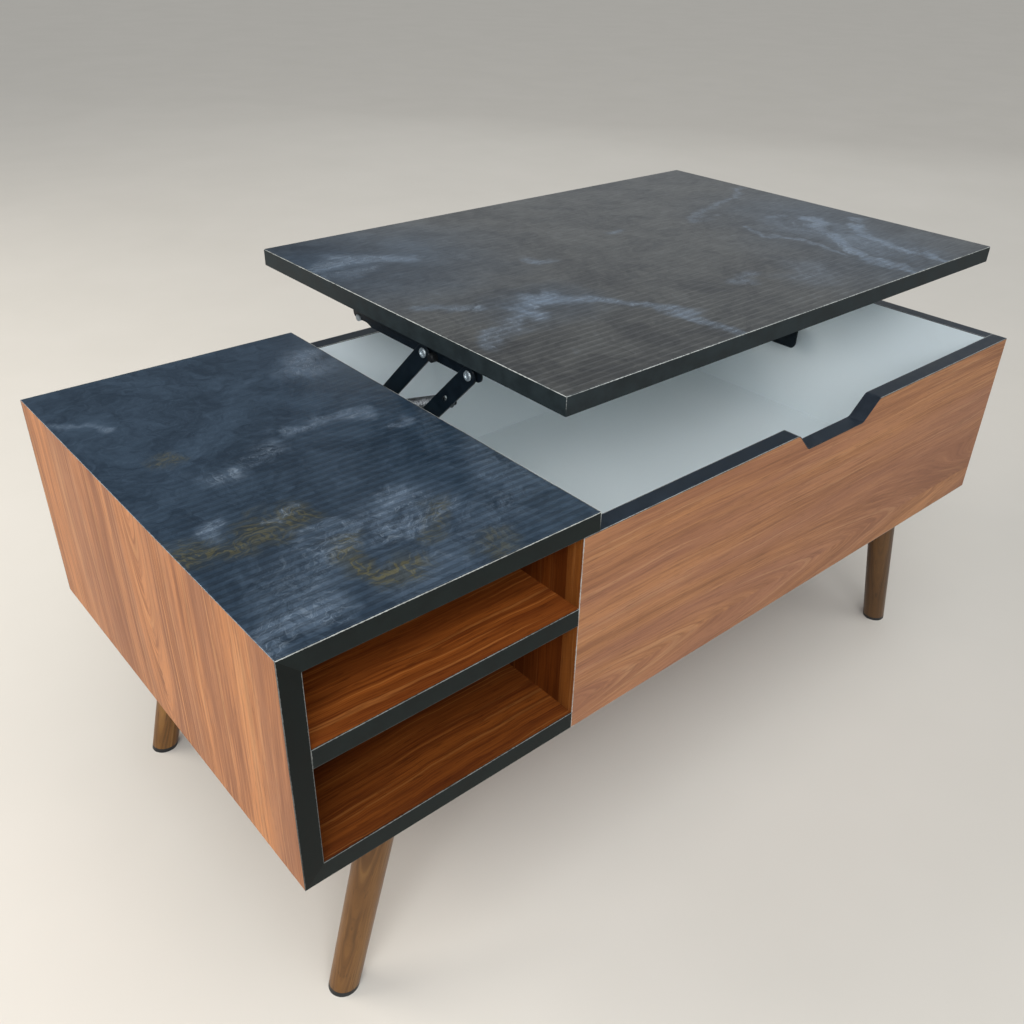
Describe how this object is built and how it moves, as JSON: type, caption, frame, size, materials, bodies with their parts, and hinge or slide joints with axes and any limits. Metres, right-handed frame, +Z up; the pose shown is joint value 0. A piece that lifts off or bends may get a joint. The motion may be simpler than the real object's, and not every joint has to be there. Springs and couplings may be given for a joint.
{
  "type": "lift top coffee table",
  "caption": "Low coffee table with open end shelves and a lift top on parallel-arm spring mechanisms over a storage well, on splayed wooden legs.",
  "frame": {"origin": "on the floor, under the middle of the table's outline as it is stored with the lift top part raised", "axes": "+X along the length from the open shelves to the storage well, +Y to the back, where the lift top travels, +Z up"},
  "size_m": [1, 0.5498, 0.5333],
  "materials": {
    "marble_laminate": "board faced with ribbed, satin laminate in a blue-black stone pattern",
    "walnut_laminate": "board faced with matte laminate in a walnut pattern, white where it faces the storage well",
    "black_edge_band": "matte black edge banding",
    "leg_wood": "solid wood, walnut stain under satin lacquer",
    "black_steel": "black powder coat",
    "zinc_steel": "bright zinc plate",
    "spring_steel": "oiled dark spring wire",
    "black_plastic": "moulded black nylon",
    "black_rubber": "moulded rubber"
  },
  "bodies": {
    "case": {"back_left_foot_glide": "black_plastic", "back_left_leg": "leg_wood", "back_left_leg_plate": "black_steel", "back_panel": "walnut_laminate", "back_panel_edge_band": "black_edge_band", "back_right_foot_glide": "black_plastic", "back_right_leg": "leg_wood", "back_right_leg_plate": "black_steel", "bottom_edge_bands": "black_edge_band", "bottom_panel": "walnut_laminate", "divider_panel": "walnut_laminate", "fixed_top": "marble_laminate", "fixed_top_edge_bands": "black_edge_band", "front_left_foot_glide": "black_plastic", "front_left_leg": "leg_wood", "front_left_leg_plate": "black_steel", "front_panel": "walnut_laminate", "front_panel_edge_band": "black_edge_band", "front_right_foot_glide": "black_plastic", "front_right_leg": "leg_wood", "front_right_leg_plate": "black_steel", "hanger_bolts": "zinc_steel", "left_base_channel": "black_steel", "left_base_screws": "zinc_steel", "left_end_edge_bands": "black_edge_band", "left_end_panel": "walnut_laminate", "left_pivot_bushes": "black_plastic", "left_pivot_pins": "zinc_steel", "left_spring_anchor": "zinc_steel", "leg_plate_screws": "zinc_steel", "middle_shelf": "walnut_laminate", "middle_shelf_edge_band": "black_edge_band", "right_base_channel": "black_steel", "right_base_screws": "zinc_steel", "right_end_edge_bands": "black_edge_band", "right_end_panel": "walnut_laminate", "right_pivot_bushes": "black_plastic", "right_pivot_pins": "zinc_steel", "right_spring_anchor": "zinc_steel"},
    "lift_top": {"lift_top_board": "marble_laminate", "lift_top_edge_band": "black_edge_band", "left_top_rail": "black_steel", "left_top_rivets": "zinc_steel", "left_stop_buffer": "black_rubber", "left_rail_screws": "zinc_steel", "right_top_rail": "black_steel", "right_top_rivets": "zinc_steel", "right_stop_buffer": "black_rubber", "right_rail_screws": "zinc_steel"},
    "left_rear_arm": {"left_rear_arm": "black_steel"},
    "left_front_arm": {"left_front_arm": "black_steel", "left_arm_spring_stud": "black_steel"},
    "left_spring": {"left_spring": "spring_steel"},
    "right_rear_arm": {"right_rear_arm": "black_steel"},
    "right_front_arm": {"right_front_arm": "black_steel", "right_arm_spring_stud": "black_steel"},
    "right_spring": {"right_spring": "spring_steel"}
  },
  "joints": [
    {"name": "lift", "type": "hinge", "parent": "case", "child": "left_rear_arm", "pos_m": [-0.1865, 0.13208, 0.356], "axis": [-1, 0, 0], "range_deg": [-28, 60]},
    {"name": "lift_top_level", "type": "hinge", "parent": "left_rear_arm", "child": "lift_top", "pos_m": [-0.1865, -0.00934, 0.49742], "axis": [-1, 0, 0], "range_deg": [-60, 28]},
    {"name": "left_front_arm_pivot", "type": "hinge", "parent": "case", "child": "left_front_arm", "pos_m": [-0.1865, 0.06208, 0.356], "axis": [-1, 0, 0], "range_deg": [-28, 60]},
    {"name": "right_rear_arm_pivot", "type": "hinge", "parent": "case", "child": "right_rear_arm", "pos_m": [0.4645, 0.13208, 0.356], "axis": [-1, 0, 0], "range_deg": [-28, 60]},
    {"name": "right_front_arm_pivot", "type": "hinge", "parent": "case", "child": "right_front_arm", "pos_m": [0.4645, 0.06208, 0.356], "axis": [-1, 0, 0], "range_deg": [-28, 60]},
    {"name": "left_spring_swing", "type": "hinge", "parent": "case", "child": "left_spring", "pos_m": [-0.1705, 0.16508, 0.36], "axis": [-1, 0, 0], "range_deg": [-17, 36], "deforming": ["left_spring"]},
    {"name": "right_spring_swing", "type": "hinge", "parent": "case", "child": "right_spring", "pos_m": [0.4485, 0.16508, 0.36], "axis": [-1, 0, 0], "range_deg": [-17, 36], "deforming": ["right_spring"]}
  ],
  "couplings": [
    {"joint": "lift_top_level", "follows": "lift", "ratio": -1},
    {"joint": "left_front_arm_pivot", "follows": "lift", "ratio": 1},
    {"joint": "right_rear_arm_pivot", "follows": "lift", "ratio": 1},
    {"joint": "right_front_arm_pivot", "follows": "lift", "ratio": 1},
    {"joint": "left_spring_swing", "follows": "lift", "ratio": 0.595},
    {"joint": "right_spring_swing", "follows": "lift", "ratio": 0.595}
  ]
}
